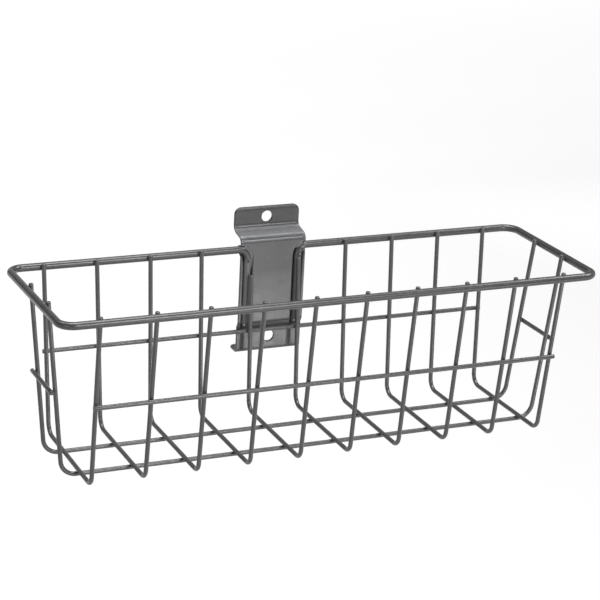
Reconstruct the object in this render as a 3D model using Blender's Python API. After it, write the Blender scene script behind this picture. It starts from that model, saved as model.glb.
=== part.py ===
# Wall basket of welded steel wire with a stamped hanging bracket.
# Frame: metres, +Z up. The wall is the plane Y = 0, the basket stands out towards -Y,
# its length runs along X. The origin is the centre of the bracket's upper hole, on the
# wall plane.
import bpy
import bmesh
import math
from mathutils import Vector

MM = 0.001

# ---------------------------------------------------------------- driving sizes (mm)
PITCH = 40.0            # distance between cross wires
N_CROSS = 10            # cross wires
WIRE_R = 1.55           # mesh wire radius
RIM_R = 2.75            # rim wire radius
GAP = 0.3               # clearance left between neighbouring solids

RIM_Y = -15.6           # axis of the rim's back run
RIM_Z = -20.5           # rim plane
RIM_L = 417.0           # rim length between axes
RIM_D = 129.5           # rim depth between axes
RIM_CORNER = 10.8       # rim corner bend radius
STEM_X = 20.9           # where the rim's two ends turn down beside the bracket's middle
STEM_BEND = 7.0
STEM_END = -59.5        # lower end of the rim's two stems, below the rim plane

BODY_H = 127.0          # rim plane to the axis of the cross wires' floor run
FLOOR_BACK = -9.4       # cross wire floor run, back end, from the rim's back axis
FLOOR_FRONT = -110.8    # and front end
BEND_BACK = 9.0         # cross wire bend radii
BEND_FRONT = 8.0
LEG_UP = 3.0            # how far the leg tops rise above the rim plane

LONG_Y = (-38.8, -80.2)         # lengthwise wires, floor run, from the rim's back axis
LONG_TOP_Y = (-44.0, -85.0)     # the same wires at the rim
LONG_HALF = 191.5               # half length of the floor run
LONG_BEND = 12.0

MID_Z = -64.6           # height of the middle wires, below the rim plane
MID_HALF = 182.6        # half length of the long middle wires

# bracket
SHEET = 2.0
BR_HALF = 26.8          # half width
TAB_TOP = 8.3
TAB_CORNER = 5.5
SHELF_BACK = -8.3       # height where the tab meets the shelf
SHELF_FRONT = -11.4     # height where the shelf meets the panel
TAB_BEND = 5.2            # bend from tab to shelf, radius of the sheet's middle
PANEL_BEND = 4.7          # bend from shelf to panel
PANEL_Y = -17.1         # front face of the raised panel
LOWER_Y = -14.9         # front face of the lower plate
STEP_TOP = -78.6
STEP_LOW = -83.9
LIP_Z = -104.1          # underside of the bottom lip
LIP_CORNER = 4.5
HOLE_D = 9.0
LOWER_HOLE_Z = -92.4
GROOVE_Y = -12.5        # front face at the bottom of the two grooves that hold the rim's ends
GROOVE_FLAT = 1.7       # half width of the groove's bottom
GROOVE_HALF = 4.7       # half width of the groove at the panel's face
GROOVE_END = -86.5      # lower end of the grooves
WALL_MAX = 3.4          # most sheet, measured along Y, in a groove's sloping sides

# ---------------------------------------------------------------- scene
for ob in list(bpy.data.objects):
    bpy.data.objects.remove(ob, do_unlink=True)

parts = bpy.data.collections.new("wall_basket")
cutters = bpy.data.collections.new("cutters")
bpy.context.scene.collection.children.link(parts)
bpy.context.scene.collection.children.link(cutters)


def coat(name, colour, rough, metal):
    m = bpy.data.materials.new(name)
    m.use_nodes = True
    b = m.node_tree.nodes["Principled BSDF"]
    b.inputs["Base Color"].default_value = (*colour, 1.0)
    b.inputs["Roughness"].default_value = rough
    b.inputs["Metallic"].default_value = metal
    return m


RIM_COAT = coat("rim_coat", (0.085, 0.087, 0.09), 0.46, 0.0)
WIRE_COAT = coat("wire_coat", (0.08, 0.082, 0.085), 0.46, 0.0)
SHEET_COAT = coat("sheet_coat", (0.10, 0.102, 0.105), 0.5, 0.0)
WELD_COAT = coat("weld_coat", (0.11, 0.112, 0.115), 0.42, 0.0)


def rounded(points, radii, steps):
    """Path through points (mm) with each inner corner turned into an arc."""
    pts = [Vector(p) for p in points]
    out = [pts[0]]
    for i in range(1, len(pts) - 1):
        a, b, c = pts[i - 1], pts[i], pts[i + 1]
        u, v = (a - b).normalized(), (c - b).normalized()
        half = u.angle(v) / 2
        r = radii[i - 1]
        t = r / math.tan(half)
        centre = b + (u + v).normalized() * (r / math.sin(half))
        e0, e1 = (b + u * t) - centre, (b + v * t) - centre
        om = e0.angle(e1)
        for k in range(steps + 1):
            w = k / steps
            out.append(centre + (e0 * math.sin((1 - w) * om) + e1 * math.sin(w * om)) / math.sin(om))
    out.append(pts[-1])
    return out


def wire(name, path, radius, res, mat):
    """Round bar along a path (mm), with flat closed ends."""
    cu = bpy.data.curves.new(name, "CURVE")
    cu.dimensions = "3D"
    cu.bevel_depth = radius * MM
    cu.bevel_resolution = res
    cu.use_fill_caps = True
    cu.twist_mode = "MINIMUM"
    sp = cu.splines.new("POLY")
    sp.points.add(len(path) - 1)
    for p, q in zip(sp.points, path):
        p.co = (q[0] * MM, q[1] * MM, q[2] * MM, 1.0)
    sp.use_smooth = True
    cu.materials.append(mat)
    ob = bpy.data.objects.new(name, cu)
    parts.objects.link(ob)
    return ob


# ---------------------------------------------------------------- rim
hx = RIM_L / 2
back, front = RIM_Y, RIM_Y - RIM_D
stem_z = RIM_Z + STEM_END
rim_path = rounded(
    [(-STEM_X, back, stem_z), (-STEM_X, back, RIM_Z), (-hx, back, RIM_Z), (-hx, front, RIM_Z),
     (hx, front, RIM_Z), (hx, back, RIM_Z), (STEM_X, back, RIM_Z), (STEM_X, back, stem_z)],
    [STEM_BEND, RIM_CORNER, RIM_CORNER, RIM_CORNER, RIM_CORNER, STEM_BEND], 8)
wire("rim_wire", rim_path, RIM_R, 4, RIM_COAT)

# ---------------------------------------------------------------- cross wires
inset = RIM_R + WIRE_R + GAP            # leg axis from rim axis, where they are welded
floor_z = RIM_Z - BODY_H
top_z = RIM_Z + LEG_UP


def back_leg_y(z):
    """Depth of a back leg's axis at height z."""
    t = (RIM_Z - z) / (RIM_Z - floor_z)
    return RIM_Y + (-inset) * (1 - t) + FLOOR_BACK * t


def front_leg_y(z):
    t = (RIM_Z - z) / (RIM_Z - floor_z)
    return RIM_Y + (-RIM_D + inset) * (1 - t) + FLOOR_FRONT * t


for i in range(N_CROSS):
    x = (i - (N_CROSS - 1) / 2) * PITCH
    # the two middle wires stop below the rim's bends, on its stems
    start = {4: RIM_Z - 19.5, 5: RIM_Z - 8.5}.get(i, top_z)
    path = rounded(
        [(x, back_leg_y(start), start), (x, RIM_Y + FLOOR_BACK, floor_z),
         (x, RIM_Y + FLOOR_FRONT, floor_z), (x, front_leg_y(top_z), top_z)],
        [BEND_BACK, BEND_FRONT], 6)
    wire("cross_wire_%02d" % (i + 1), path, WIRE_R, 2, WIRE_COAT)

# ---------------------------------------------------------------- lengthwise floor wires
long_z = floor_z - 2 * WIRE_R - GAP


def end_leg_x(z):
    """Distance from the middle of an end leg's axis at height z."""
    t = (RIM_Z - z) / (RIM_Z - long_z)
    return (hx - inset) * (1 - t) + LONG_HALF * t


for name, y0, y1 in (("long_wire_back", LONG_TOP_Y[0], LONG_Y[0]),
                     ("long_wire_front", LONG_TOP_Y[1], LONG_Y[1])):
    path = rounded(
        [(-end_leg_x(top_z), RIM_Y + y0, top_z), (-LONG_HALF, RIM_Y + y1, long_z),
         (LONG_HALF, RIM_Y + y1, long_z), (end_leg_x(top_z), RIM_Y + y0, top_z)],
        [LONG_BEND, LONG_BEND], 7)
    wire(name, path, WIRE_R, 2, WIRE_COAT)

# ---------------------------------------------------------------- middle wires
mid_z = RIM_Z + MID_Z
off = 2 * WIRE_R + GAP + 0.02
yb = back_leg_y(mid_z) + off
yf = front_leg_y(mid_z) - off
wire("mid_wire_back", [(-MID_HALF, yb, mid_z), (MID_HALF, yb, mid_z)], WIRE_R, 2, WIRE_COAT)
wire("mid_wire_front", [(-MID_HALF, yf, mid_z), (MID_HALF, yf, mid_z)], WIRE_R, 2, WIRE_COAT)
xs = end_leg_x(mid_z) + off
t = (RIM_Z - mid_z) / (RIM_Z - long_z)
y_a = RIM_Y + LONG_TOP_Y[0] * (1 - t) + LONG_Y[0] * t + 3.0
y_b = RIM_Y + LONG_TOP_Y[1] * (1 - t) + LONG_Y[1] * t - 3.0
for name, s in (("mid_wire_left", -1), ("mid_wire_right", 1)):
    wire(name, [(s * xs, y_a, mid_z), (s * xs, y_b, mid_z)], WIRE_R, 2, WIRE_COAT)


# ---------------------------------------------------------------- bracket
def smooth(t):
    t = min(max(t, 0.0), 1.0)
    return t * t * (3 - 2 * t)


def groove(x, z):
    """Share of the full groove depth at a point of the panel, 0 to 1."""
    x = abs(x)
    lo = RIM_Z - STEM_BEND
    if z < lo:                                  # straight part beside the stem
        d = x - STEM_X
    else:                                       # round the bend and out over the edge
        cx = STEM_X + STEM_BEND
        d = z - RIM_Z if x >= cx else math.hypot(x - cx, z - lo) - STEM_BEND
    share = 1 - smooth((abs(d) - GROOVE_FLAT) / (GROOVE_HALF - GROOVE_FLAT))
    return share * smooth((z - GROOVE_END) / 5.0)


def dish(x, z, fy):
    """How far the front face lies back at a point, and how much thicker the sheet is there along Y."""
    if not -90.0 < z < -12.5:
        return 0.0, 0.0
    deep = GROOVE_Y - fy
    h = 0.05
    sx = (groove(x + h, z) - groove(x - h, z)) / (2 * h) * deep
    sz = (groove(x, z + h) - groove(x, z - h)) / (2 * h) * deep
    thick = min(SHEET * math.sqrt(1 + sx * sx + sz * sz), WALL_MAX) - SHEET
    return deep * groove(x, z), thick


def profile():
    """Front line of the bracket from the tab's top to the lip's end.
    Each entry is front (y, z), back (y, z), half width."""
    rows = []
    tab_y = -SHEET
    for k in range(5):                          # rounded top corners
        a = math.radians(90 - 22.5 * k)
        z = TAB_TOP - TAB_CORNER * (1 - math.sin(a))
        rows.append(((tab_y, z), (0.0, z), BR_HALF - TAB_CORNER * (1 - math.cos(a))))
    # tab, shelf and panel joined by two bends, as centre line with an offset each side
    line = rounded([(0, -SHEET / 2, -4.7), (0, -SHEET / 2, SHELF_BACK - 0.8),
                    (0, PANEL_Y + SHEET / 2, SHELF_FRONT - 0.8), (0, PANEL_Y + SHEET / 2, -16.6)],
                   [TAB_BEND, PANEL_BEND], 5)
    for i in range(1, len(line) - 1):
        d = (line[i + 1] - line[i - 1]).normalized()
        if i in (1, 7):
            d = (line[i] - line[i - 1]).normalized()
        if i in (6, 12):
            d = (line[i + 1] - line[i]).normalized()
        n = Vector((0, d.z, -d.y))              # points to the front, right of the way down
        f, b = line[i] + n * SHEET / 2, line[i] - n * SHEET / 2
        rows.append(((f.y, f.z), (b.y, b.z), BR_HALF))
    for z in [-17.0, -17.8, -18.8, -20.5, -22.2, -23.2, -24.0, -24.8, -25.6, -26.6, -28.0, -31.0,
              -38.0, -50.0, -64.0, -74.0, STEP_TOP + 0.6]:
        rows.append(((PANEL_Y, z), (PANEL_Y + SHEET, z), BR_HALF))
    for k in range(1, 5):                       # step back to the lower plate
        t = k / 4
        z = STEP_TOP + (STEP_LOW - STEP_TOP) * t
        y = PANEL_Y + (LOWER_Y - PANEL_Y) * smooth(t)
        rows.append(((y, z), (y + SHEET, z), BR_HALF))
    for z in [-85.2, -86.5, -92.4, -96.4, -100.0]:
        rows.append(((LOWER_Y, z), (LOWER_Y + SHEET, z), BR_HALF))
    c = (LOWER_Y + 3.0, LIP_Z + 3.0)            # bend into the lip
    for k in range(0, 6):
        a = math.radians(18 * k)
        rows.append(((c[0] - 3.0 * math.cos(a), c[1] - 3.0 * math.sin(a)),
                     (c[0] - 1.0 * math.cos(a), c[1] - 1.0 * math.sin(a)), BR_HALF))
    for k in range(5):                          # lip with rounded corners
        a = math.radians(22.5 * k)
        y = -LIP_CORNER * (1 - math.sin(a))
        rows.append(((y, LIP_Z), (y, LIP_Z + SHEET), BR_HALF - LIP_CORNER * (1 - math.cos(a))))
    return rows


COLS = [0.0, 7.0, 13.0, 15.8, 16.6, 17.4, 18.2, 19.2, 20.9, 22.6, 23.6, 24.4, 25.2, 26.0, BR_HALF]
cols = [-c for c in reversed(COLS[1:])] + COLS


def make_bracket():
    bm = bmesh.new()
    rows = profile()
    f_grid, b_grid = [], []
    for (fy, fz), (by, bz), hw in rows:
        fr, br = [], []
        for c in cols:
            x = c * hw / BR_HALF
            back_by, thick = dish(x, fz, fy)
            fr.append(bm.verts.new((x * MM, (fy + back_by) * MM, fz * MM)))
            br.append(bm.verts.new((x * MM, (by + back_by + thick) * MM, bz * MM)))
        f_grid.append(fr)
        b_grid.append(br)
    nr, nc = len(rows), len(cols)
    for r in range(nr - 1):
        for c in range(nc - 1):
            f, b = f_grid, b_grid
            bm.faces.new((f[r][c], f[r + 1][c], f[r + 1][c + 1], f[r][c + 1]))
            bm.faces.new((b[r][c], b[r][c + 1], b[r + 1][c + 1], b[r + 1][c]))
    for r in range(nr - 1):
        bm.faces.new((f_grid[r][0], b_grid[r][0], b_grid[r + 1][0], f_grid[r + 1][0]))
        bm.faces.new((f_grid[r][-1], f_grid[r + 1][-1], b_grid[r + 1][-1], b_grid[r][-1]))
    for c in range(nc - 1):
        bm.faces.new((f_grid[0][c], f_grid[0][c + 1], b_grid[0][c + 1], b_grid[0][c]))
        bm.faces.new((f_grid[-1][c], b_grid[-1][c], b_grid[-1][c + 1], f_grid[-1][c + 1]))
    bmesh.ops.recalc_face_normals(bm, faces=bm.faces[:])
    bmesh.ops.triangulate(bm, faces=bm.faces[:])
    me = bpy.data.meshes.new("hanging_bracket")
    bm.to_mesh(me)
    bm.free()
    me.materials.append(SHEET_COAT)
    ob = bpy.data.objects.new("hanging_bracket", me)
    parts.objects.link(ob)
    return ob


bracket = make_bracket()


def drill(target, name, z, y):
    """Round hole through the sheet, along Y."""
    bm = bmesh.new()
    bmesh.ops.create_cone(bm, cap_ends=True, segments=32, radius1=HOLE_D / 2 * MM,
                          radius2=HOLE_D / 2 * MM, depth=12 * MM)
    me = bpy.data.meshes.new(name)
    bm.to_mesh(me)
    bm.free()
    cut = bpy.data.objects.new(name, me)
    cut.location = (0, y * MM, z * MM)
    cut.rotation_euler = (math.pi / 2, 0, 0)
    cut.hide_render = True
    cut.display_type = "WIRE"
    cutters.objects.link(cut)
    mod = target.modifiers.new(name, "BOOLEAN")
    mod.operation = "DIFFERENCE"
    mod.solver = "EXACT"
    mod.object = cut


drill(bracket, "upper_hole_cut", 0.0, -1.0)
drill(bracket, "lower_hole_cut", LOWER_HOLE_Z, LOWER_Y + 1.0)

# ---------------------------------------------------------------- weld nodules
# One on the front of each of the rim's two bends, where the bend is welded down.


def nodule(name, centre, size):
    bm = bmesh.new()
    bmesh.ops.create_uvsphere(bm, u_segments=14, v_segments=9, radius=1.0)
    for v in bm.verts:
        v.co = Vector((v.co.x * size[0] * MM, v.co.y * size[1] * MM, v.co.z * size[2] * MM))
    me = bpy.data.meshes.new(name)
    bm.to_mesh(me)
    bm.free()
    for p in me.polygons:
        p.use_smooth = True
    me.materials.append(WELD_COAT)
    ob = bpy.data.objects.new(name, me)
    ob.location = tuple(c * MM for c in centre)
    parts.objects.link(ob)
    return ob


nod_y = RIM_Y - RIM_R - 1.15 - GAP
nodule("weld_nodule_left", (-STEM_X + 0.3, nod_y, RIM_Z - 8.6), (1.15, 1.1, 1.25))
nodule("weld_nodule_right", (STEM_X + 0.2, nod_y, RIM_Z - 6.5), (1.25, 1.1, 1.3))
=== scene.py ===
# Looks of the wall basket: welded round wire and a stamped bracket, all under one graphite coat.
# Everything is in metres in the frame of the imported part; sizes below are in millimetres.
import math

import bmesh
import bpy
from mathutils import Matrix, Vector, noise


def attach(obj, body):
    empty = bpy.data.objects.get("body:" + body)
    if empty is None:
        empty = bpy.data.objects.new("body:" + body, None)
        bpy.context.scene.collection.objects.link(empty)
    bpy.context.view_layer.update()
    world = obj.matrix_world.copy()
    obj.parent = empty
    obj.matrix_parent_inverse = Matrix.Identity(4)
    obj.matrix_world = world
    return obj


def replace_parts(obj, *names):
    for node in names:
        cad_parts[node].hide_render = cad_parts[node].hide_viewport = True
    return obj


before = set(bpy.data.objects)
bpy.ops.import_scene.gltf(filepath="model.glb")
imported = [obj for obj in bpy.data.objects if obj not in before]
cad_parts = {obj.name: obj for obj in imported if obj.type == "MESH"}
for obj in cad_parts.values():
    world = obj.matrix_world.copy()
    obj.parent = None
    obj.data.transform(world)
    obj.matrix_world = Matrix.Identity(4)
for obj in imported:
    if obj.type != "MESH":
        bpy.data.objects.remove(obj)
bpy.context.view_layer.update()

MM = 0.001

# ---------------------------------------------------------------- sizes, as in the part
PITCH, N_CROSS = 40.0, 10
WIRE_R, RIM_R, GAP = 1.55, 2.75, 0.3
RIM_Y, RIM_Z, RIM_L, RIM_D, RIM_CORNER = -15.6, -20.5, 417.0, 129.5, 10.8
STEM_X, STEM_BEND, STEM_END = 20.9, 7.0, -59.5
BODY_H, FLOOR_BACK, FLOOR_FRONT, BEND_BACK, BEND_FRONT, LEG_UP = 127.0, -9.4, -110.8, 9.0, 8.0, 3.0
LONG_Y, LONG_TOP_Y, LONG_HALF, LONG_BEND = (-38.8, -80.2), (-44.0, -85.0), 191.5, 12.0
MID_Z, MID_HALF = -64.6, 182.6
SHEET, BR_HALF, TAB_TOP, TAB_CORNER = 2.0, 26.8, 8.3, 5.5
SHELF_BACK, SHELF_FRONT, PANEL_Y, LOWER_Y = -8.3, -11.4, -17.1, -14.9
TAB_BEND, PANEL_BEND = 5.2, 4.7
STEP_TOP, STEP_LOW, LIP_Z, LIP_CORNER = -78.6, -83.9, -104.1, 4.5
HOLE_D, LOWER_HOLE_Z = 9.0, -92.4
GROOVE_Y, GROOVE_FLAT, GROOVE_HALF, GROOVE_END, WALL_MAX = -12.5, 1.7, 4.7, -86.5, 3.4

COAT = 0.13                                   # the coat stands this proud of the bare wire
hx = RIM_L / 2
inset = RIM_R + WIRE_R + GAP
floor_z = RIM_Z - BODY_H
top_z = RIM_Z + LEG_UP
long_z = floor_z - 2 * WIRE_R - GAP
mid_z = RIM_Z + MID_Z

# Welded by hand in a jig, each cross wire sits a little off its place: back top, back floor,
# front floor, front top.
SETTLE = [(-2.6, 1.0, 0.4, 0.0), (-2.2, 1.3, 0.5, 0.9), (-0.5, 1.0, 0.7, 0.2), (-0.1, 1.5, 0.7, 0.6),
          (0.7, 1.6, 0.5, 0.5), (-0.4, 1.3, 0.5, 0.2), (-1.0, 0.9, 0.3, 0.2), (-1.3, 0.7, 0.0, 0.6),
          (-1.1, -0.1, -0.5, 1.2), (-0.9, -0.7, -0.5, 1.8)]

# ---------------------------------------------------------------- light levels
WORLD_GLOW = 0.08
FLOOR_GLOW = [(-0.5, 0.10), (0.55, 0.31), (0.77, 0.36), (1.07, 0.45), (1.38, 0.53), (1.84, 0.65), (2.27, 0.75),
              (2.74, 0.82), (3.78, 0.91), (9.0, 1.0)]     # distance behind, glow
SOFTBOXES = [
    # name, azimuth, elevation, distance, width, height, power
    ("key", 22.0, 30.0, 2.0, 0.4, 0.4, 7.5),
    ("key_wide", 8.0, 16.0, 2.2, 0.9, 0.6, 19.0),
    ("low_card", 24.0, -21.5, 1.0, 0.6, 0.12, 1.5),
    ("right_top", 85.0, 48.0, 2.3, 1.2, 0.8, 26.0),
    ("back_top_right", 125.0, 62.0, 2.2, 1.0, 0.6, 6.0),
    ("back_top_left", 228.0, 60.0, 2.3, 1.2, 0.8, 14.0),
    ("overhead", 0.0, 88.0, 1.9, 1.2, 1.0, 39.0),
    ("back_low", 178.0, 14.0, 2.4, 1.6, 0.6, 2.0),
    ("left_fill", -50.0, 8.0, 1.8, 0.6, 0.6, 3.0),
]

# ---------------------------------------------------------------- coats


def nd(tree, kind, **inputs):
    n = tree.nodes.new(kind)
    for k, v in inputs.items():
        if k in n.inputs:
            n.inputs[k].default_value = v
        else:
            setattr(n, k, v)
    return n


def coat(name, dark, light, rough, bump, grain, low=None, painted_light_steps=()):
    """Satin graphite powder coat: fine leathery skin, slight mottling, thinner and shinier spots; optionally with
    painted light below a height or painted light and shade in height steps.
    """
    m = bpy.data.materials.new(name)
    m.use_nodes = True
    t = m.node_tree
    b = t.nodes["Principled BSDF"]
    out = t.nodes["Material Output"]
    co = nd(t, "ShaderNodeTexCoord")
    # mottled colour
    mott = nd(t, "ShaderNodeTexNoise", Scale=90.0, Detail=4.0, Roughness=0.55)
    t.links.new(co.outputs["Object"], mott.inputs["Vector"])
    speck = nd(t, "ShaderNodeTexNoise", Scale=1500.0, Detail=2.0, Roughness=0.5)
    t.links.new(co.outputs["Object"], speck.inputs["Vector"])
    mixv = nd(t, "ShaderNodeMath", operation="MULTIPLY_ADD")
    t.links.new(speck.outputs["Fac"], mixv.inputs[0])
    mixv.inputs[1].default_value = 0.45
    t.links.new(mott.outputs["Fac"], mixv.inputs[2])
    ramp = nd(t, "ShaderNodeValToRGB")
    ramp.color_ramp.elements[0].position = 0.45
    ramp.color_ramp.elements[1].position = 1.0
    ramp.color_ramp.elements[0].color = (*dark, 1.0)
    ramp.color_ramp.elements[1].color = (*light, 1.0)
    t.links.new(mixv.outputs[0], ramp.inputs["Fac"])
    colour = ramp.outputs["Color"]
    if low:
        # painted light: the parts below a height are painted paler, standing in for light reaching the rim's downturned
        # stems
        sep = nd(t, "ShaderNodeSeparateXYZ")
        t.links.new(co.outputs["Object"], sep.inputs[0])
        down = nd(t, "ShaderNodeMapRange")
        down.inputs["From Min"].default_value = low[0] * MM
        down.inputs["From Max"].default_value = low[1] * MM
        t.links.new(sep.outputs["Z"], down.inputs["Value"])
        mix = nd(t, "ShaderNodeMix", data_type="RGBA")
        t.links.new(down.outputs["Result"], mix.inputs[0])
        t.links.new(ramp.outputs["Color"], mix.inputs[6])
        mix.inputs[7].default_value = (*low[2], 1.0)
        colour = mix.outputs[2]
    if painted_light_steps:
        # painted light and shade by height: the up-facing shelf is painted paler, as if lit from above, and the upright
        # tab above it is painted darker as painted shade
        sep = nd(t, "ShaderNodeSeparateXYZ")
        t.links.new(co.outputs["Object"], sep.inputs[0])
        last = None
        for z0, z1, amount in painted_light_steps:
            step = nd(t, "ShaderNodeMapRange")
            step.inputs["From Min"].default_value = z0 * MM
            step.inputs["From Max"].default_value = z1 * MM
            step.inputs["To Max"].default_value = amount
            t.links.new(sep.outputs["Z"], step.inputs["Value"])
            add = nd(t, "ShaderNodeMath", operation="ADD")
            t.links.new(step.outputs["Result"], add.inputs[0])
            if last:
                t.links.new(last, add.inputs[1])
            else:
                add.inputs[1].default_value = 1.0
            last = add.outputs[0]
        scale = nd(t, "ShaderNodeVectorMath", operation="SCALE")
        t.links.new(colour, scale.inputs[0])
        t.links.new(last, scale.inputs["Scale"])
        colour = scale.outputs[0]
    t.links.new(colour, b.inputs["Base Color"])
    # roughness
    rn = nd(t, "ShaderNodeTexNoise", Scale=260.0, Detail=3.0, Roughness=0.6)
    t.links.new(co.outputs["Object"], rn.inputs["Vector"])
    rr = nd(t, "ShaderNodeMapRange")
    rr.inputs["From Min"].default_value = 0.3
    rr.inputs["From Max"].default_value = 0.7
    rr.inputs["To Min"].default_value = rough - 0.05
    rr.inputs["To Max"].default_value = rough + 0.07
    t.links.new(rn.outputs["Fac"], rr.inputs["Value"])
    t.links.new(rr.outputs["Result"], b.inputs["Roughness"])
    # leathery skin and fine grain
    skin = nd(t, "ShaderNodeTexNoise", Scale=650.0, Detail=2.0, Roughness=0.5)
    t.links.new(co.outputs["Object"], skin.inputs["Vector"])
    fine = nd(t, "ShaderNodeTexNoise", Scale=2600.0, Detail=2.0, Roughness=0.6)
    t.links.new(co.outputs["Object"], fine.inputs["Vector"])
    b1 = nd(t, "ShaderNodeBump", Strength=bump, Distance=0.00012)
    t.links.new(skin.outputs["Fac"], b1.inputs["Height"])
    b2 = nd(t, "ShaderNodeBump", Strength=grain, Distance=0.00004)
    t.links.new(fine.outputs["Fac"], b2.inputs["Height"])
    t.links.new(b1.outputs["Normal"], b2.inputs["Normal"])
    t.links.new(b2.outputs["Normal"], b.inputs["Normal"])
    b.inputs["Metallic"].default_value = 0.0
    b.inputs["Specular IOR Level"].default_value = 0.5
    b.inputs["IOR"].default_value = 1.5
    t.links.new(b.outputs["BSDF"], out.inputs["Surface"])
    return m


WIRE_COAT = coat("coat_on_wire", (0.053, 0.0535, 0.0556), (0.067, 0.0676, 0.0702), 0.21, 0.08, 0.04)
# painted light: the rim's downturned stems are painted paler below a height
RIM_COAT = coat("coat_on_rim", (0.041, 0.0414, 0.0430), (0.053, 0.0535, 0.0556), 0.22, 0.08, 0.04,
                (-25.0, -31.0, (0.105, 0.106, 0.110)))
# painted light and shade: the bracket's shelf is painted paler and its tab painted darker
SHEET_COAT = coat("coat_on_sheet", (0.060, 0.0606, 0.0630), (0.069, 0.0697, 0.0725), 0.21, 0.05, 0.02,
                  painted_light_steps=((-12.2, -11.2, 0.95), (-11.0, -9.0, -0.35), (-8.0, -6.9, -0.98)))
WELD_COAT = coat("coat_on_weld", (0.076, 0.0767, 0.080), (0.100, 0.1008, 0.105), 0.25, 0.25, 0.10)

# ---------------------------------------------------------------- mesh helpers


def rounded(points, radii, steps):
    """Path through points with each inner corner turned into an arc."""
    pts = [Vector(p) for p in points]
    out = [pts[0]]
    for i in range(1, len(pts) - 1):
        a, b, c = pts[i - 1], pts[i], pts[i + 1]
        u, v = (a - b).normalized(), (c - b).normalized()
        half = u.angle(v) / 2
        r = radii[i - 1]
        t = r / math.tan(half)
        centre = b + (u + v).normalized() * (r / math.sin(half))
        e0, e1 = (b + u * t) - centre, (b + v * t) - centre
        om = e0.angle(e1)
        for k in range(steps + 1):
            w = k / steps
            out.append(centre + (e0 * math.sin((1 - w) * om) + e1 * math.sin(w * om)) / math.sin(om))
    out.append(pts[-1])
    return out


def dense(path, step):
    """The same path with extra points on its long straight stretches."""
    out = [path[0]]
    for a, b in zip(path, path[1:]):
        n = max(1, round((b - a).length / step))
        for k in range(1, n + 1):
            out.append(a.lerp(b, k / n))
    return out


SAWN = [(-0.35, 1.0), (-0.12, 0.95), (0.0, 0.84)]
CAPPED = [(-2.6, 1.0), (-1.8, 1.03), (-1.1, 1.06), (-0.55, 1.05), (-0.2, 0.96), (0.04, 0.80), (0.18, 0.56), (0.25, 0.26)]     # coat gathers on a cut end


def tube(name, path, radius, sides, coat_mat, ends=(SAWN, SAWN), wander=0.0, seed=0.0):
    """Round bar swept along a path, with shaped ends and a very slight unevenness."""
    pts = [Vector(p) for p in path]
    if wander:
        for i, p in enumerate(pts):
            q = p * 0.02 + Vector((seed, seed * 1.7, -seed))
            pts[i] = p + noise.noise_vector(q) * wander
    # end rings
    d0, d1 = (pts[1] - pts[0]).normalized(), (pts[-1] - pts[-2]).normalized()
    rings = []
    for off, f in reversed(ends[0]):
        rings.append((pts[0] - d0 * off, radius * f))
    first = len(rings)
    keep = [p for p in pts[1:-1]]
    for p in keep:
        rings.append((p, radius))
    for off, f in ends[1]:
        rings.append((pts[-1] + d1 * off, radius * f))
    # parallel frames
    bm = bmesh.new()
    tangents = []
    for i in range(len(rings)):
        if i < first:
            tangents.append(d0)
        elif i >= len(rings) - len(ends[1]):
            tangents.append(d1)
        else:
            a, b = rings[i - 1][0], rings[i + 1][0]
            tangents.append((b - a).normalized())
    side = tangents[0].orthogonal().normalized()
    loops = []
    for (p, r), t in zip(rings, tangents):
        side = (side - t * side.dot(t)).normalized()
        up = t.cross(side)
        loops.append([bm.verts.new((p + (side * math.cos(a) + up * math.sin(a)) * r) * MM)
                      for a in (2 * math.pi * k / sides for k in range(sides))])
    for l0, l1 in zip(loops, loops[1:]):
        for k in range(sides):
            j = (k + 1) % sides
            bm.faces.new((l0[k], l0[j], l1[j], l1[k]))
    for l, p, flip in ((loops[0], rings[0][0], False), (loops[-1], rings[-1][0], True)):
        c = bm.verts.new(p * MM)
        for k in range(sides):
            j = (k + 1) % sides
            bm.faces.new((c, l[k], l[j]) if flip else (c, l[j], l[k]))
    bmesh.ops.recalc_face_normals(bm, faces=bm.faces[:])
    me = bpy.data.meshes.new(name)
    bm.to_mesh(me)
    bm.free()
    me.shade_smooth()
    me.materials.append(coat_mat)
    ob = bpy.data.objects.new(name, me)
    bpy.context.scene.collection.objects.link(ob)
    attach(ob, "root")
    return ob


def back_leg_y(z):
    t = (RIM_Z - z) / (RIM_Z - floor_z)
    return RIM_Y + (-inset) * (1 - t) + FLOOR_BACK * t


def front_leg_y(z):
    t = (RIM_Z - z) / (RIM_Z - floor_z)
    return RIM_Y + (-RIM_D + inset) * (1 - t) + FLOOR_FRONT * t


def end_leg_x(z):
    t = (RIM_Z - z) / (RIM_Z - long_z)
    return (hx - inset) * (1 - t) + LONG_HALF * t


# ---------------------------------------------------------------- rim
back, front = RIM_Y, RIM_Y - RIM_D
stem_z = RIM_Z + STEM_END
rim_path = rounded(
    [(-STEM_X, back, stem_z), (-STEM_X, back, RIM_Z), (-hx, back, RIM_Z), (-hx, front, RIM_Z),
     (hx, front, RIM_Z), (hx, back, RIM_Z), (STEM_X, back, RIM_Z), (STEM_X, back, stem_z)],
    [STEM_BEND, RIM_CORNER, RIM_CORNER, RIM_CORNER, RIM_CORNER, STEM_BEND], 20)
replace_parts(tube("rim", dense(rim_path, 12.0), RIM_R + COAT, 32, RIM_COAT), "rim_wire")

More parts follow.
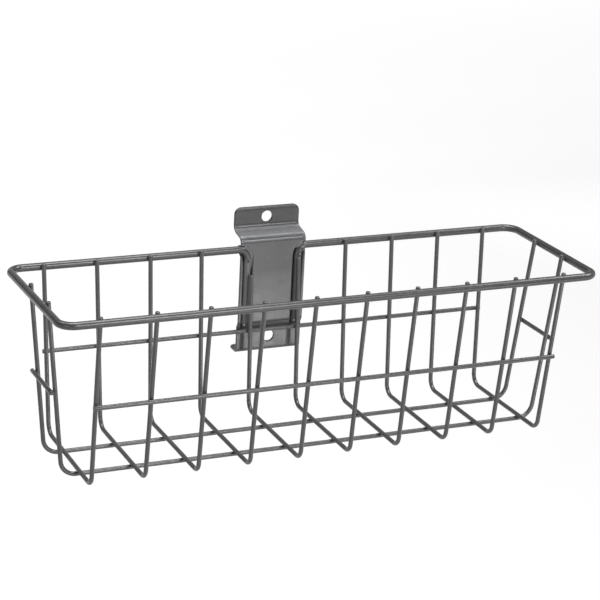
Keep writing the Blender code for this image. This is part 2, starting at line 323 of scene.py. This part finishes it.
# ---------------------------------------------------------------- cross wires
crossings = []          # where wires touch: (point on one axis, point on the other axis, radii, along one, along other)
for i in range(N_CROSS):
    x = (i - (N_CROSS - 1) / 2) * PITCH
    a, b, c, e = SETTLE[i]
    start = {4: RIM_Z - 19.5, 5: RIM_Z - 8.5}.get(i, top_z)
    ts = (top_z - start) / (top_z - floor_z)
    xs = x + a * (1 - ts) + b * ts
    pts = [(xs, back_leg_y(start), start), (x + b, RIM_Y + FLOOR_BACK, floor_z),
           (x + c, RIM_Y + FLOOR_FRONT, floor_z), (x + e, front_leg_y(top_z), top_z)]
    path = rounded(pts, [BEND_BACK, BEND_FRONT], 14)
    ob = tube("cross_%02d" % (i + 1), dense(path, 9.0), WIRE_R + COAT, 20, WIRE_COAT, ends=(CAPPED, CAPPED), wander=0.12, seed=3.1 * i + 1)
    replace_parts(ob, "cross_wire_%02d" % (i + 1))
    tb = (RIM_Z - mid_z) / (RIM_Z - floor_z)
    yb, yf = back_leg_y(mid_z), front_leg_y(mid_z)
    off = 2 * WIRE_R + GAP + 0.02
    if start == top_z:
        crossings.append(((x + a, back_leg_y(RIM_Z), RIM_Z), (x + a, back, RIM_Z), "rim"))
    crossings.append(((x + e, front_leg_y(RIM_Z), RIM_Z), (x + e, front, RIM_Z), "rim"))
    xb = x + a * (1 - tb) + b * tb
    xf = x + e * (1 - tb) + c * tb
    crossings.append(((xb, yb, mid_z), (xb, yb + off, mid_z), "mid"))
    crossings.append(((xf, yf, mid_z), (xf, yf - off, mid_z), "mid"))
    for y in LONG_Y:
        s = (y - FLOOR_BACK) / (FLOOR_FRONT - FLOOR_BACK)
        xc = x + b * (1 - s) + c * s
        crossings.append(((xc, RIM_Y + y, floor_z), (xc, RIM_Y + y, long_z), "floor"))

# ---------------------------------------------------------------- lengthwise wires
for name, node, y0, y1 in (("long_back", "long_wire_back", LONG_TOP_Y[0], LONG_Y[0]),
                           ("long_front", "long_wire_front", LONG_TOP_Y[1], LONG_Y[1])):
    path = rounded(
        [(-end_leg_x(top_z), RIM_Y + y0, top_z), (-LONG_HALF, RIM_Y + y1, long_z),
         (LONG_HALF, RIM_Y + y1, long_z), (end_leg_x(top_z), RIM_Y + y0, top_z)],
        [LONG_BEND, LONG_BEND], 18)
    ob = tube(name, dense(path, 10.0), WIRE_R + COAT, 20, WIRE_COAT, ends=(CAPPED, CAPPED), wander=0.1, seed=40 + y0)
    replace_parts(ob, node)
    for s in (-1, 1):
        crossings.append(((s * end_leg_x(RIM_Z), RIM_Y + y0, RIM_Z), (s * hx, RIM_Y + y0, RIM_Z), "rim"))

# ---------------------------------------------------------------- middle wires
off = 2 * WIRE_R + GAP + 0.02
yb = back_leg_y(mid_z) + off
yf = front_leg_y(mid_z) - off
for name, y in (("mid_wire_back", yb), ("mid_wire_front", yf)):
    path = dense([Vector((-MID_HALF, y, mid_z)), Vector((MID_HALF, y, mid_z))], 10.0)
    ob = tube(name.replace("_wire", ""), path, WIRE_R + COAT, 20, WIRE_COAT, wander=0.1, seed=60 + y)
    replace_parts(ob, name)
xs = end_leg_x(mid_z) + off
t = (RIM_Z - mid_z) / (RIM_Z - long_z)
y_leg = [RIM_Y + LONG_TOP_Y[k] * (1 - t) + LONG_Y[k] * t for k in (0, 1)]
y_a, y_b = y_leg[0] + 3.0, y_leg[1] - 3.0
for name, s in (("mid_wire_left", -1), ("mid_wire_right", 1)):
    path = dense([Vector((s * xs, y_a, mid_z)), Vector((s * xs, y_b, mid_z))], 8.0)
    ob = tube(name.replace("_wire", ""), path, WIRE_R + COAT, 20, WIRE_COAT)
    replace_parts(ob, name)
    for y in y_leg:
        crossings.append(((s * end_leg_x(mid_z), y, mid_z), (s * xs, y, mid_z), "mid"))

# ---------------------------------------------------------------- weld metal where wires touch


def blob(bm, centre, axes, size, seed, rough=0.16, subdiv=3):
    """One lump of weld metal: a rounded, slightly uneven drop."""
    made = bmesh.ops.create_icosphere(bm, subdivisions=subdiv, radius=1.0)["verts"]
    c = Vector(centre)
    for v in made:
        n = v.co.normalized()
        k = 1.0 + rough * noise.noise(n * 1.7 + Vector((seed, -seed, seed * 0.3)))
        p = axes[0] * (n.x * size[0] * k) + axes[1] * (n.y * size[1] * k) + axes[2] * (n.z * size[2] * k)
        v.co = (c + p) * MM


def weld_object(name, kind, size):
    """All drops of one kind in one object. Size is across the joint, along the second wire, along the first."""
    bm = bmesh.new()
    for k, (p, q, what) in enumerate(crossings):
        if what != kind:
            continue
        p, q = Vector(p), Vector(q)
        across = (q - p).normalized()
        r0, r1 = (WIRE_R, RIM_R) if kind == "rim" else (WIRE_R, WIRE_R)
        touch = p + (q - p) * (r0 / (r0 + r1))
        if kind == "floor":
            u, v = Vector((1, 0, 0)), Vector((0, 1, 0))
        elif abs(across.x) > 0.5:
            u, v = Vector((0, 1, 0)), Vector((0, 0, 1))
        else:
            u, v = Vector((1, 0, 0)), Vector((0, 0, 1))
        blob(bm, touch, (across, u, v), size, k * 1.37 + 5)
    me = bpy.data.meshes.new(name)
    bm.to_mesh(me)
    bm.free()
    me.shade_smooth()
    me.materials.append(WELD_COAT)
    ob = bpy.data.objects.new(name, me)
    bpy.context.scene.collection.objects.link(ob)
    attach(ob, "root")
    return ob


weld_object("weld_on_rim", "rim", (1.0, 1.25, 1.5))
weld_object("weld_on_middle", "mid", (0.7, 1.15, 1.15))
weld_object("weld_on_floor", "floor", (0.65, 1.05, 1.05))

# painted shadow: near-black lumps on the long wire just left of each floor weld, standing in for the shadow the cross
# wire casts there
PAINTED_SHADOW_COAT = coat("painted_shadow_on_floor_welds", (0.010, 0.0101, 0.0106), (0.020, 0.0202, 0.0212), 0.42, 0.2, 0.1)
bm = bmesh.new()
for k, (p, q, what) in enumerate(crossings):
    if what == "floor":
        grow = 1.0 + 0.18 * noise.noise(Vector((k * 1.3, 0.7, 2.9)))
        blob(bm, (q[0] - 1.95, q[1] - 0.12, q[2] + 0.72), (Vector((1, 0, 0)), Vector((0, 1, 0)), Vector((0, 0, 1))),
             (1.55 * grow, 1.52, 1.16), k * 0.83 + 2.2, rough=0.12)
me = bpy.data.meshes.new("painted_shadow_spots")
bm.to_mesh(me)
bm.free()
me.shade_smooth()
me.materials.append(PAINTED_SHADOW_COAT)
ob = bpy.data.objects.new("painted_shadow_spots", me)
bpy.context.scene.collection.objects.link(ob)
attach(ob, "root")

# ---------------------------------------------------------------- bracket


def smooth(t):
    t = min(max(t, 0.0), 1.0)
    return t * t * (3 - 2 * t)


def groove(x, z):
    x = abs(x)
    lo = RIM_Z - STEM_BEND
    half = GROOVE_HALF
    if z < lo:
        d = x - STEM_X
        if d > 0:
            half -= 0.75 * smooth((lo - z) / 6.0)
    else:
        cx = STEM_X + STEM_BEND
        d = z - RIM_Z if x >= cx else math.hypot(x - cx, z - lo) - STEM_BEND
        if d > 0:
            half -= 1.2 * (1.0 if x >= cx else smooth(math.atan2(z - lo, cx - x) / (math.pi / 2)))
    share = 1 - smooth((abs(d) - GROOVE_FLAT) / (half - GROOVE_FLAT))
    return share * smooth((z - GROOVE_END) / 5.0)


def dish(x, z, fy):
    if not -90.0 < z < -12.5:
        return 0.0, 0.0
    deep = GROOVE_Y - fy
    h = 0.05
    sx = (groove(x + h, z) - groove(x - h, z)) / (2 * h) * deep
    sz = (groove(x, z + h) - groove(x, z - h)) / (2 * h) * deep
    thick = min(SHEET * math.sqrt(1 + sx * sx + sz * sz), WALL_MAX) - SHEET
    return deep * groove(x, z), thick


def frange(a, b, step):
    n = max(1, round(abs(b - a) / step))
    return [a + (b - a) * k / n for k in range(n)]


EDGE = 0.75                                   # how far the coated sheet edge is rounded over
LAND = [(-6.6, None), (None, -4.4), (None, -13.9), (-13.7, None)]     # z or y of the press marks along the two bends
MARK_HEIGHT = (0.016, 0.22, 0.16, 0.05)       # press marks from the top down
MARK_WIDE = (0.28, 0.62, 0.45, 0.28)
MARK_WHOLE = (0.2, 0.75, 0.8, 0.15)           # how little each mark is broken up
BEADS = [(0, -24.6), (0, 2.4), (0, 23.8), (3, -25.0), (3, 24.4), (1, -13.0)]     # drops of coat caught on a mark


def profile():
    """Rows of the sheet: front point, back point, half width and how strongly each press mark shows."""
    rows = []
    rc = TAB_CORNER - EDGE
    for k in range(13):
        a = math.radians(90 - 7.5 * k)
        z = TAB_TOP - EDGE - rc * (1 - math.sin(a))
        rows.append(((-SHEET + 0.42 * max(0.0, (z - 5.8) / 1.75) ** 1.5, z), (0.0, z),
                     BR_HALF - EDGE - rc * (1 - math.cos(a)), None))
    for z in (1.4, 0.0, -1.6, -3.0):
        rows.append(((-SHEET, z), (0.0, z), BR_HALF - EDGE, None))
    line = rounded([(0, -SHEET / 2, -3.6), (0, -SHEET / 2, SHELF_BACK - 0.8),
                    (0, PANEL_Y + SHEET / 2, SHELF_FRONT - 0.8), (0, PANEL_Y + SHEET / 2, -16.6)],
                   [TAB_BEND, PANEL_BEND], 24)
    fine = [line[0]]
    for p, q in zip(line, line[1:]):
        n = max(1, round((q - p).length / 0.22))
        fine += [p.lerp(q, k / n) for k in range(1, n + 1)]
    pts, last = [fine[0]], fine[0]
    for p in fine[1:]:
        if (p - last).length > 0.17:
            pts.append(p)
            last = p
    run, total = [0.0], 0.0
    for p, q in zip(pts, pts[1:]):
        total += (q - p).length
        run.append(total)
    marks = []
    for z, y in LAND:
        if z is not None:
            marks.append(min(range(len(pts)), key=lambda i: abs(pts[i].z - z) + (9 if (pts[i].y > -8) != (z > -9) else 0)))
        else:
            marks.append(min(range(len(pts)), key=lambda i: abs(pts[i].y - y)))
    for i in range(1, len(pts) - 1):
        d = (pts[i + 1] - pts[i - 1]).normalized()
        n = Vector((0, d.z, -d.y))
        f, b = pts[i] + n * SHEET / 2, pts[i] - n * SHEET / 2
        share = [math.exp(-((run[i] - run[m]) / w) ** 2) for m, w in zip(marks, MARK_WIDE)]
        rows.append(((f.y, f.z), (b.y, b.z), BR_HALF - EDGE, (n.y, n.z, share)))
    zs = frange(-16.8, -33.0, 0.45) + frange(-33.0, STEP_TOP + 1.0, 6.0) + [STEP_TOP + 1.0, STEP_TOP + 0.4]
    for z in zs:
        rows.append(((PANEL_Y, z), (PANEL_Y + SHEET, z), BR_HALF - EDGE, None))
    for k in range(1, 13):
        t = k / 12
        z = STEP_TOP + (STEP_LOW - STEP_TOP) * t
        y = PANEL_Y + (LOWER_Y - PANEL_Y) * smooth(t)
        rows.append(((y, z), (y + SHEET, z), BR_HALF - EDGE, None))
    for z in [-84.4, -85.0, -85.6, -86.1, -86.6, -87.2, -88.5, -92.4, -96.4, -99.5]:
        rows.append(((LOWER_Y, z), (LOWER_Y + SHEET, z), BR_HALF - EDGE, None))
    c = (LOWER_Y + 3.0, LIP_Z + 3.0)
    for k in range(0, 13):
        a = math.radians(7.5 * k)
        rows.append(((c[0] - 3.0 * math.cos(a), c[1] - 3.0 * math.sin(a)),
                     (c[0] - 1.0 * math.cos(a), c[1] - 1.0 * math.sin(a)), BR_HALF - EDGE, None))
    rl = LIP_CORNER - EDGE
    for k in range(13):
        a = math.radians(7.5 * k)
        y = -EDGE - rl * (1 - math.sin(a))
        rows.append(((y, LIP_Z), (y, LIP_Z + SHEET), BR_HALF - EDGE - rl * (1 - math.cos(a)), None))
    return rows


def mark_height(share, x):
    """Raised press marks, broken along their length, with a few caught drops of coat."""
    h = 0.0
    for k, w in enumerate(share):
        if w > 0.004:
            n = noise.noise(Vector((x * 0.33, 7.3 * k + 0.5, 0.2))) + 0.5 * noise.noise(Vector((x * 1.1, 3.1 * k, 4.2)))
            h += w * MARK_HEIGHT[k] * max(0.06, min(1.0, MARK_WHOLE[k] + 1.8 * n))
            for j, bx in BEADS:
                if j == k:
                    h += w * 0.32 * math.exp(-((x - bx) / 0.5) ** 2)
    return h


def make_bracket():
    wide = BR_HALF - EDGE
    cols = [0.0] + frange(1.0, 15.0, 1.0) + frange(15.0, wide, 0.4) + [wide]
    cols = [-c for c in reversed(cols[1:])] + cols
    rows = profile()
    bm = bmesh.new()
    f, b = [], []
    for (fy, fz), (by, bz), hw, mark in rows:
        fr, br = [], []
        for c in cols:
            x = c * hw / wide
            lie, thick = dish(x, fz, fy)
            p = Vector((x, fy + lie, fz))
            if mark:
                p += Vector((0, mark[0], mark[1])) * mark_height(mark[2], x)
            fr.append(p)
            br.append(Vector((x, by + lie + thick, bz)))
        f.append(fr)
        b.append(br)
    nr, nc = len(rows), len(cols)
    fv = [[bm.verts.new(p * MM) for p in r] for r in f]
    bv = [[bm.verts.new(p * MM) for p in r] for r in b]
    for r in range(nr - 1):
        for c in range(nc - 1):
            bm.faces.new((fv[r][c], fv[r + 1][c], fv[r + 1][c + 1], fv[r][c + 1]))
            bm.faces.new((bv[r][c], bv[r][c + 1], bv[r + 1][c + 1], bv[r + 1][c]))
    # the rounded rim of the sheet, all the way round
    ring = [(r, 0) for r in range(nr - 1)] + [(nr - 1, c) for c in range(nc - 1)] \
        + [(r, nc - 1) for r in range(nr - 1, 0, -1)] + [(0, c) for c in range(nc - 1, 0, -1)]
    inner = {}
    for r, c in ring:
        inner[(r, c)] = (min(max(r, 1), nr - 2), min(max(c, 1), nc - 2))
    mids = [(f[r][c] + b[r][c]) / 2 for r, c in ring]
    m = len(ring)
    loops = []
    steps = 10
    for k, (r, c) in enumerate(ring):
        tan = (mids[(k + 1) % m] - mids[k - 1]).normalized()
        n = f[r][c] - b[r][c]
        half = n.length / 2
        n.normalize()
        out = tan.cross(n).normalized()
        ri, ci = inner[(r, c)]
        if out.dot(mids[k] - (f[ri][ci] + b[ri][ci]) / 2) < 0:
            out = -out
        row = [fv[r][c]]
        for j in range(1, steps):
            a = math.pi * j / steps
            ca, sa = math.cos(a), math.sin(a)
            ca, sa = math.copysign(abs(ca) ** 0.8, ca), sa ** 0.8
            row.append(bm.verts.new((mids[k] + n * (half * ca) + out * (EDGE * sa)) * MM))
        row.append(bv[r][c])
        loops.append(row)
    for k in range(m):
        l0, l1 = loops[k], loops[(k + 1) % m]
        for j in range(steps):
            bm.faces.new((l0[j], l0[j + 1], l1[j + 1], l1[j]))
    bmesh.ops.recalc_face_normals(bm, faces=bm.faces[:])
    me = bpy.data.meshes.new("bracket")
    bm.to_mesh(me)
    bm.free()
    ob = bpy.data.objects.new("bracket", me)
    bpy.context.scene.collection.objects.link(ob)
    return ob


def spool(name, z, y_front):
    """Cutter for a punched hole whose front rim is rolled in a little and whose back rim is sharper."""
    r = HOLE_D / 2 - 0.1
    lip = 0.3
    prof = [(y_front - 3.0, r + lip)]
    for k in range(7):
        a = math.radians(15 * k)
        prof.append((y_front + lip - lip * math.cos(a), r + lip - lip * math.sin(a)))
    prof.append((y_front + SHEET - 0.15, r))
    prof.append((y_front + SHEET, r + 0.15))
    prof.append((y_front + SHEET + 3.0, r + 0.15))
    bm = bmesh.new()
    n = 64
    loops = [[bm.verts.new((rr * math.cos(2 * math.pi * k / n) * MM, yy * MM, (z + rr * math.sin(2 * math.pi * k / n)) * MM))
              for k in range(n)] for yy, rr in prof]
    for l0, l1 in zip(loops, loops[1:]):
        for k in range(n):
            j = (k + 1) % n
            bm.faces.new((l0[k], l0[j], l1[j], l1[k]))
    bm.faces.new(loops[0])
    bm.faces.new(list(reversed(loops[-1])))
    bmesh.ops.recalc_face_normals(bm, faces=bm.faces[:])
    me = bpy.data.meshes.new(name)
    bm.to_mesh(me)
    bm.free()
    ob = bpy.data.objects.new(name, me)
    bpy.context.scene.collection.objects.link(ob)
    return ob


bracket = make_bracket()
cuts = [spool("cut_a", 0.0, -SHEET), spool("cut_b", LOWER_HOLE_Z, LOWER_Y)]
for cut in cuts:
    mod = bracket.modifiers.new(cut.name, "BOOLEAN")
    mod.operation = "DIFFERENCE"
    mod.solver = "EXACT"
    mod.object = cut
bpy.context.view_layer.update()
dg = bpy.context.evaluated_depsgraph_get()
shaped = bpy.data.meshes.new_from_object(bracket.evaluated_get(dg))
bracket.modifiers.clear()
bracket.data = shaped
for cut in cuts:
    bpy.data.objects.remove(cut, do_unlink=True)
shaped.materials.clear()
shaped.materials.append(SHEET_COAT)
shaped.shade_smooth()
shaped.set_sharp_from_angle(angle=math.radians(38))
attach(bracket, "root")
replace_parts(bracket, "hanging_bracket")

# ---------------------------------------------------------------- weld metal between bracket and rim


def bead(bm, path, wide, deep, seed):
    """A run of weld laid in the xz plane: a flattened uneven bar with ripples, tapering from wide[0] to wide[1]."""
    pts = [Vector(p) for p in path]
    sides = 20
    loops = []
    n = len(pts)
    total = 0.0
    out = Vector((0, 1, 0))
    for i, p in enumerate(pts):
        t = (pts[min(i + 1, n - 1)] - pts[max(i - 1, 0)]).normalized()
        if i:
            total += (p - pts[i - 1]).length
        side = t.cross(out).normalized()
        shrink = math.sqrt(max(0.03, 1 - (1 - min(min(i, n - 1 - i) / 4.0, 1.0)) ** 2))
        share = i / (n - 1)
        rw = (wide[0] + (wide[1] - wide[0]) * share) * shrink
        rd = (deep[0] + (deep[1] - deep[0]) * share) * shrink
        ring = []
        for k in range(sides):
            ang = 2 * math.pi * k / sides
            w = 1 + 0.07 * noise.noise(Vector((total * 0.5, seed + math.cos(ang), math.sin(ang)))) \
                + 0.035 * math.sin(total * 3.6 + seed)
            ring.append(bm.verts.new((p + side * (rw * w * math.cos(ang)) + out * (rd * w * math.sin(ang))) * MM))
        loops.append(ring)
    for l0, l1 in zip(loops, loops[1:]):
        for k in range(sides):
            j = (k + 1) % sides
            bm.faces.new((l0[k], l0[j], l1[j], l1[k]))
    bm.faces.new(loops[0])
    bm.faces.new(list(reversed(loops[-1])))


def finish_weld(name, bm, node=None):
    bmesh.ops.recalc_face_normals(bm, faces=bm.faces[:])
    me = bpy.data.meshes.new(name)
    bm.to_mesh(me)
    bm.free()
    me.shade_smooth()
    me.materials.append(WELD_COAT)
    ob = bpy.data.objects.new(name, me)
    bpy.context.scene.collection.objects.link(ob)
    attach(ob, "root")
    if node:
        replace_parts(ob, node)
    return ob


AXES = (Vector((1, 0, 0)), Vector((0, 1, 0)), Vector((0, 0, 1)))
bend_x, bend_z = STEM_X + STEM_BEND, RIM_Z - STEM_BEND
reach = STEM_BEND + 2.9
fill_y = PANEL_Y + 0.95
left_run = [(-bend_x + reach * math.cos(math.radians(a)), fill_y, bend_z + reach * math.sin(math.radians(a)))
            for a in range(72, -1, -4)]
left_run += [(-STEM_X + 2.9 - 0.02 * k, fill_y + 0.05 * k, bend_z - 0.7 * k) for k in range(1, 15)]
right_run = [(bend_x - reach * math.cos(math.radians(a)), fill_y, bend_z + reach * math.sin(math.radians(a)))
             for a in range(72, 27, -4)]
nod_y = RIM_Y - RIM_R - 1.0
bm = bmesh.new()
bead(bm, left_run, (2.5, 1.1), (1.6, 0.8), 1.3)
blob(bm, (-STEM_X + 0.3, nod_y, RIM_Z - 8.6), AXES, (1.15, 1.2, 1.25), 12.1, rough=0.22)
finish_weld("weld_on_left_bend", bm, "weld_nodule_left")
bm = bmesh.new()
bead(bm, right_run, (2.5, 2.0), (1.6, 1.2), 6.1)
for k, (c, size) in enumerate([((STEM_X + 0.2, nod_y, RIM_Z - 6.5), (1.25, 1.2, 1.3)),
                               ((STEM_X + 2.6, RIM_Y - 2.2, RIM_Z - 1.6), (1.5, 1.1, 1.4)),
                               ((STEM_X + 4.9, RIM_Y - 1.7, RIM_Z + 1.4), (1.6, 1.1, 1.1)),
                               ((STEM_X + 3.9, RIM_Y - 2.5, RIM_Z - 3.3), (1.2, 0.8, 1.3)),
                               ((STEM_X + 1.2, RIM_Y - 2.4, RIM_Z - 4.2), (1.1, 0.9, 1.2))]):
    blob(bm, c, AXES, size, 3.3 * k + 2.0, rough=0.24)
finish_weld("weld_on_right_bend", bm, "weld_nodule_right")

# spatter that the coat has run over, near the rim's back right corner
bm = bmesh.new()
for k in range(16):
    u = noise.noise_vector(Vector((k * 1.9 + 0.4, 2.2, 7.1)))
    v = noise.noise_vector(Vector((k * 2.7 + 0.9, 5.4, 1.3)))
    x = 192.5 + 7.0 * u.x
    a = math.radians(52 + 60 * u.y)
    c = (x, RIM_Y - (RIM_R - 0.08) * math.cos(a), RIM_Z + (RIM_R - 0.08) * math.sin(a))
    r = 0.26 + 0.16 * abs(v.x)
    blob(bm, c, AXES, (r * 1.25, r, r), 1.1 * k, rough=0.2, subdiv=2)
finish_weld("spatter", bm)

# ---------------------------------------------------------------- stage
FLOOR_Z = -0.62
S = 200.0
floor_me = bpy.data.meshes.new("floor")
floor_me.from_pydata([(-S, -S, FLOOR_Z), (S, -S, FLOOR_Z), (S, S, FLOOR_Z), (-S, S, FLOOR_Z)], [], [(0, 1, 2, 3)])
floor = bpy.data.objects.new("floor", floor_me)
bpy.context.scene.collection.objects.link(floor)
fm = bpy.data.materials.new("pale_floor")
fm.use_nodes = True
ft = fm.node_tree
fb = ft.nodes["Principled BSDF"]
fb.inputs["Base Color"].default_value = (0.55, 0.55, 0.55, 1.0)
fb.inputs["Roughness"].default_value = 0.9
fb.inputs["Specular IOR Level"].default_value = 0.1
# lit from below like a light table, brighter behind the object
fco = nd(ft, "ShaderNodeTexCoord")
fsep = nd(ft, "ShaderNodeSeparateXYZ")
ft.links.new(fco.outputs["Object"], fsep.inputs[0])
fmap = nd(ft, "ShaderNodeMapRange")
fmap.inputs["From Min"].default_value = FLOOR_GLOW[0][0]
fmap.inputs["From Max"].default_value = FLOOR_GLOW[-1][0]
ft.links.new(fsep.outputs["Y"], fmap.inputs["Value"])
framp = nd(ft, "ShaderNodeValToRGB")
ft.links.new(fmap.outputs["Result"], framp.inputs["Fac"])
span = FLOOR_GLOW[-1][0] - FLOOR_GLOW[0][0]
framp.color_ramp.elements[0].color = (FLOOR_GLOW[0][1],) * 3 + (1.0,)
framp.color_ramp.elements[1].color = (FLOOR_GLOW[-1][1],) * 3 + (1.0,)
for y, g in FLOOR_GLOW[1:-1]:
    framp.color_ramp.elements.new((y - FLOOR_GLOW[0][0]) / span).color = (g, g, g, 1.0)
# far from the object the floor glows the same all round
flat = nd(ft, "ShaderNodeCombineXYZ")
ft.links.new(fsep.outputs["X"], flat.inputs["X"])
ft.links.new(fsep.outputs["Y"], flat.inputs["Y"])
reach_out = nd(ft, "ShaderNodeVectorMath", operation="LENGTH")
ft.links.new(flat.outputs[0], reach_out.inputs[0])
far = nd(ft, "ShaderNodeMapRange", interpolation_type="SMOOTHSTEP")
far.inputs["From Min"].default_value = 0.7
far.inputs["From Max"].default_value = 2.4
far.inputs["To Max"].default_value = 0.7
ft.links.new(reach_out.outputs["Value"], far.inputs["Value"])
brighter = nd(ft, "ShaderNodeMath", operation="MAXIMUM")
ft.links.new(framp.outputs["Color"], brighter.inputs[0])
ft.links.new(far.outputs["Result"], brighter.inputs[1])
ft.links.new(brighter.outputs[0], fb.inputs["Emission Color"])
fb.inputs["Emission Strength"].default_value = 1.0
floor_me.materials.append(fm)

world = bpy.data.worlds.new("studio")
bpy.context.scene.world = world
world.use_nodes = True
wt = world.node_tree
bg = wt.nodes["Background"]
bg.inputs["Color"].default_value = (1.0, 1.0, 1.0, 1.0)
# the studio is dim round the object, and its far wall is pale where a low view looks past the floor
seen = nd(wt, "ShaderNodeLightPath")
wall = nd(wt, "ShaderNodeMapRange")
wall.inputs["To Min"].default_value = WORLD_GLOW
wall.inputs["To Max"].default_value = 0.9
wt.links.new(seen.outputs["Is Camera Ray"], wall.inputs["Value"])
wt.links.new(wall.outputs["Result"], bg.inputs["Strength"])


def softbox(name, az, el, dist, wide, high, power):
    """Rectangular softbox aimed at the object; az is measured from straight in front towards the right."""
    aim = Vector((0.0, -0.08, -0.08))
    a, e = math.radians(az), math.radians(el)
    d = Vector((math.sin(a) * math.cos(e), -math.cos(a) * math.cos(e), math.sin(e)))
    li = bpy.data.lights.new(name, "AREA")
    li.shape = "RECTANGLE"
    li.size, li.size_y = wide, high
    li.energy = power
    ob = bpy.data.objects.new(name, li)
    ob.location = aim + d * dist
    ob.rotation_mode = "QUATERNION"
    ob.rotation_quaternion = d.to_track_quat("Z", "Y")
    bpy.context.scene.collection.objects.link(ob)
    return ob


for args in SOFTBOXES:
    softbox(*args)

# ---------------------------------------------------------------- camera
az, el, roll = math.radians(24.836), math.radians(18.716), math.radians(2.985)
F_PX, TX, TY, TZ = 2055.1, -21.02, 40.76, 1564.7
back_v = Vector((-math.sin(az) * math.cos(el), -math.cos(az) * math.cos(el), math.sin(el)))
right_v = Vector((math.cos(az), -math.sin(az), 0.0))
up_v = back_v.cross(right_v)
r2 = right_v * math.cos(roll) + up_v * math.sin(roll)
u2 = up_v * math.cos(roll) - right_v * math.sin(roll)
tx, ty = TX + 0.5 * TZ / F_PX, TY - 0.5 * TZ / F_PX
place = -(r2 * tx + u2 * ty - back_v * TZ) - Vector((0, -RIM_Y, -RIM_Z))
cam_data = bpy.data.cameras.new("camera")
cam_data.sensor_width = 36.0
cam_data.lens = F_PX / 600.0 * 36.0
cam_data.clip_start, cam_data.clip_end = 0.05, 500.0
cam = bpy.data.objects.new("camera", cam_data)
cam.matrix_world = Matrix((
    (r2.x, u2.x, back_v.x, place.x * MM),
    (r2.y, u2.y, back_v.y, place.y * MM),
    (r2.z, u2.z, back_v.z, place.z * MM),
    (0, 0, 0, 1)))
bpy.context.scene.collection.objects.link(cam)
bpy.context.scene.camera = cam

sc = bpy.context.scene
sc.view_settings.view_transform = "Standard"
sc.view_settings.look = "None"
sc.view_settings.exposure = 0.0
sc.view_settings.gamma = 1.0
